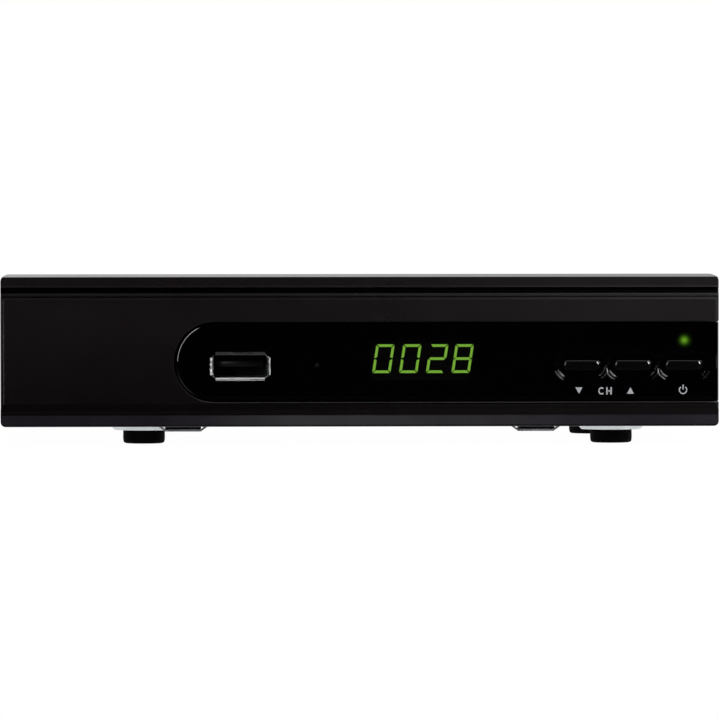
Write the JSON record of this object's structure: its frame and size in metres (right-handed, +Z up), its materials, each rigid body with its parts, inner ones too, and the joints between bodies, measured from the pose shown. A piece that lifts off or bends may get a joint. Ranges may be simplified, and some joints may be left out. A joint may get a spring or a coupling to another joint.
{
  "type": "satellite tv receiver",
  "caption": "Flat steel-cased satellite receiver: moulded black front, smoked window with digit display, USB socket and push keys, rubber feet, rear aerial, video, audio and power sockets.",
  "frame": {"origin": "on the table, under the middle of the object's box", "axes": "+X to the right seen from the front, +Y from the front to the rear sockets, +Z up"},
  "size_m": [0.168, 0.128, 0.04],
  "materials": {
    "painted_steel": "fine matt black powder coat",
    "galvanised_steel": "bare zinc-coated sheet, satin with a faint spangle",
    "screw_steel": "black zinc",
    "bright_screw": "bright zinc",
    "bezel_plastic": "fine-textured satin black moulding",
    "smoked_window": "polished smoked black",
    "key_plastic": "polished black",
    "black_rubber": "matt",
    "switch_body": "matt black",
    "plunger_plastic": "ivory",
    "display_case": "matt black face",
    "lit_segment": "lit yellow-green, diffused",
    "dark_segment": "unlit grey",
    "green_lamp": "diffused green epoxy",
    "eye_plastic": "dark infrared filter",
    "board": "green solder mask",
    "header_plastic": "matt black",
    "gilt_contact": "gilt",
    "usb_steel": "bright nickel-plated",
    "usb_insulator": "matt black",
    "chip_package": "moulded epoxy",
    "silicone_pad": "soft grey-blue",
    "heatsink_aluminium": "black anodised",
    "crystal_can": "nickel-plated",
    "capacitor_sleeve": "dark sleeve with a bright top",
    "coil_ferrite": "matt grey",
    "tinned_shield": "tinned",
    "nickel_barrel": "nickel-plated",
    "white_insulator": "natural white",
    "scart_plastic": "matt black",
    "coax_plastic": "matt black",
    "coax_insert": "orange",
    "dc_plastic": "matt black"
  },
  "bodies": {
    "case": {"top_cover": "painted_steel", "bottom_chassis": "galvanised_steel", "cover_screws": "screw_steel", "front_bezel": "bezel_plastic", "display_window": "smoked_window", "button_switches": "switch_body", "display_module": "display_case", "display_digits": "lit_segment", "dark_segments": "dark_segment", "standby_led": "green_lamp", "led_spacer": "header_plastic", "infrared_receiver": "eye_plastic", "front_board": "board", "board_link_strip": "header_plastic", "board_link_pins": "gilt_contact", "usb_shell": "usb_steel", "usb_tongue": "usb_insulator", "usb_contacts": "gilt_contact", "main_board": "board", "board_screws": "bright_screw", "board_standoffs": "bright_screw", "main_processor": "chip_package", "thermal_pad": "silicone_pad", "processor_heatsink": "heatsink_aluminium", "memory_chips": "chip_package", "flash_chip": "chip_package", "crystal": "crystal_can", "capacitors": "capacitor_sleeve", "power_coils": "coil_ferrite", "tuner_shield": "tinned_shield", "lnb_connector": "nickel_barrel", "lnb_core": "white_insulator", "lnb_nut": "nickel_barrel", "hdmi_shell": "usb_steel", "hdmi_tongue": "usb_insulator", "scart_socket": "scart_plastic", "scart_contacts": "gilt_contact", "coax_audio_jack": "coax_plastic", "coax_audio_sleeve": "nickel_barrel", "coax_audio_core": "coax_insert", "dc_power_jack": "dc_plastic", "dc_jack_pin": "nickel_barrel", "dc_jack_leaf": "gilt_contact", "front_left_foot": "black_rubber", "front_right_foot": "black_rubber", "rear_left_foot": "black_rubber", "rear_right_foot": "black_rubber"},
    "channel_down_key": {"channel_down_button": "key_plastic", "channel_down_plunger": "plunger_plastic"},
    "channel_up_key": {"channel_up_button": "key_plastic", "channel_up_plunger": "plunger_plastic"},
    "power_key": {"power_button": "key_plastic", "power_plunger": "plunger_plastic"}
  },
  "joints": [
    {"name": "channel_down_press", "type": "slide", "parent": "case", "child": "channel_down_key", "axis": [0, 1, 0], "range_m": [0, 0.00045], "stiffness_N_per_m": 700, "springref_m": -0.0006},
    {"name": "channel_up_press", "type": "slide", "parent": "case", "child": "channel_up_key", "axis": [0, 1, 0], "range_m": [0, 0.00045], "stiffness_N_per_m": 700, "springref_m": -0.0006},
    {"name": "power_press", "type": "slide", "parent": "case", "child": "power_key", "axis": [0, 1, 0], "range_m": [0, 0.00045], "stiffness_N_per_m": 700, "springref_m": -0.0006}
  ]
}
